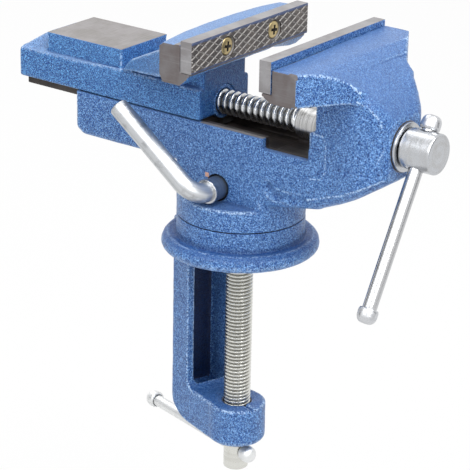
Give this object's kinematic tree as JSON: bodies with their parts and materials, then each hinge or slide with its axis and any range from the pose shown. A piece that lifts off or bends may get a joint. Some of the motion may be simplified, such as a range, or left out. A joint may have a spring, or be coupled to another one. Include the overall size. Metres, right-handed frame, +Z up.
{
  "type": "swivel bench vise",
  "caption": "Small bench vise with a sliding jaw and anvil on a bed that turns on a screw clamp base for a bench edge.",
  "frame": {"origin": "centre of the clamp flange's flat underside, on the swivel axis, which rests on the bench top", "axes": "+Z up along the swivel axis, +X along the main screw towards its handle, Y along the width of the jaws"},
  "size_m": [0.1933, 0.075, 0.1912],
  "materials": {
    "casting_paint": "hammered blue enamel on cast iron, with ground bare-iron faces",
    "zinc": "bright zinc plate on turned steel",
    "jaw_steel": "ground steel with a cross-cut face",
    "yellow_zinc": "yellow zinc plate",
    "bronze": "turned bush",
    "dark_steel": "oiled dark steel"
  },
  "bodies": {
    "clamp": {"clamp_base": "casting_paint"},
    "clamp_pad": {"clamp_pad": "zinc"},
    "clamp_screw": {"clamp_screw": "zinc"},
    "clamp_bar": {"clamp_bar": "zinc", "clamp_bar_cap_near": "zinc", "clamp_bar_cap_far": "zinc"},
    "swivel": {"swivel_body": "casting_paint", "fixed_jaw_plate": "jaw_steel", "fixed_jaw_screw_near": "yellow_zinc", "fixed_jaw_screw_far": "yellow_zinc"},
    "slide": {"sliding_jaw": "casting_paint", "moving_jaw_plate": "jaw_steel", "moving_jaw_screw_near": "yellow_zinc", "moving_jaw_screw_far": "yellow_zinc", "lead_nut": "bronze", "keeper_plate": "dark_steel", "keeper_screw_1": "dark_steel", "keeper_screw_2": "dark_steel", "keeper_screw_3": "dark_steel", "keeper_screw_4": "dark_steel"},
    "main_screw": {"main_screw": "zinc", "thrust_washer": "zinc", "retaining_collar": "zinc", "collar_pin": "zinc"},
    "main_bar": {"main_bar": "zinc", "main_bar_cap_upper": "zinc", "main_bar_cap_lower": "zinc"},
    "lock": {"lock_handle": "zinc"}
  },
  "joints": [
    {"name": "swivel_turn", "type": "hinge", "parent": "clamp", "child": "swivel", "pos_m": [0, 0, 0.015], "axis": [0, 0, 1], "continuous": true},
    {"name": "lock_turn", "type": "hinge", "parent": "swivel", "child": "lock", "pos_m": [0, 0, 0.0294], "axis": [0, 1, 0], "range_deg": [-70, 0]},
    {"name": "screw_turn", "type": "hinge", "parent": "swivel", "child": "main_screw", "pos_m": [0.0829, 0, 0.0589], "axis": [1, 0, 0], "range_deg": [-3649, 3517]},
    {"name": "jaw_slide", "type": "slide", "parent": "swivel", "child": "slide", "axis": [1, 0, 0], "range_m": [-0.0293, 0.0304]},
    {"name": "bar_slide", "type": "slide", "parent": "main_screw", "child": "main_bar", "axis": [0, 0.506, 0.8625], "range_m": [0, 0.0536]},
    {"name": "pad_lift", "type": "slide", "parent": "clamp", "child": "clamp_pad", "axis": [0, 0, 1], "range_m": [-0.0588, 0.0015]},
    {"name": "clamp_turn", "type": "hinge", "parent": "clamp_pad", "child": "clamp_screw", "pos_m": [0, 0, -0.09], "axis": [0, 0, 1], "range_deg": [-14113, 361]},
    {"name": "clamp_bar_slide", "type": "slide", "parent": "clamp_screw", "child": "clamp_bar", "axis": [0.9646, -0.2639, 0], "range_m": [0, 0.0497]}
  ],
  "couplings": [
    {"joint": "screw_turn", "follows": "jaw_slide", "rad_per_m": -2094.4},
    {"joint": "clamp_turn", "follows": "pad_lift", "rad_per_m": 4188.8}
  ]
}
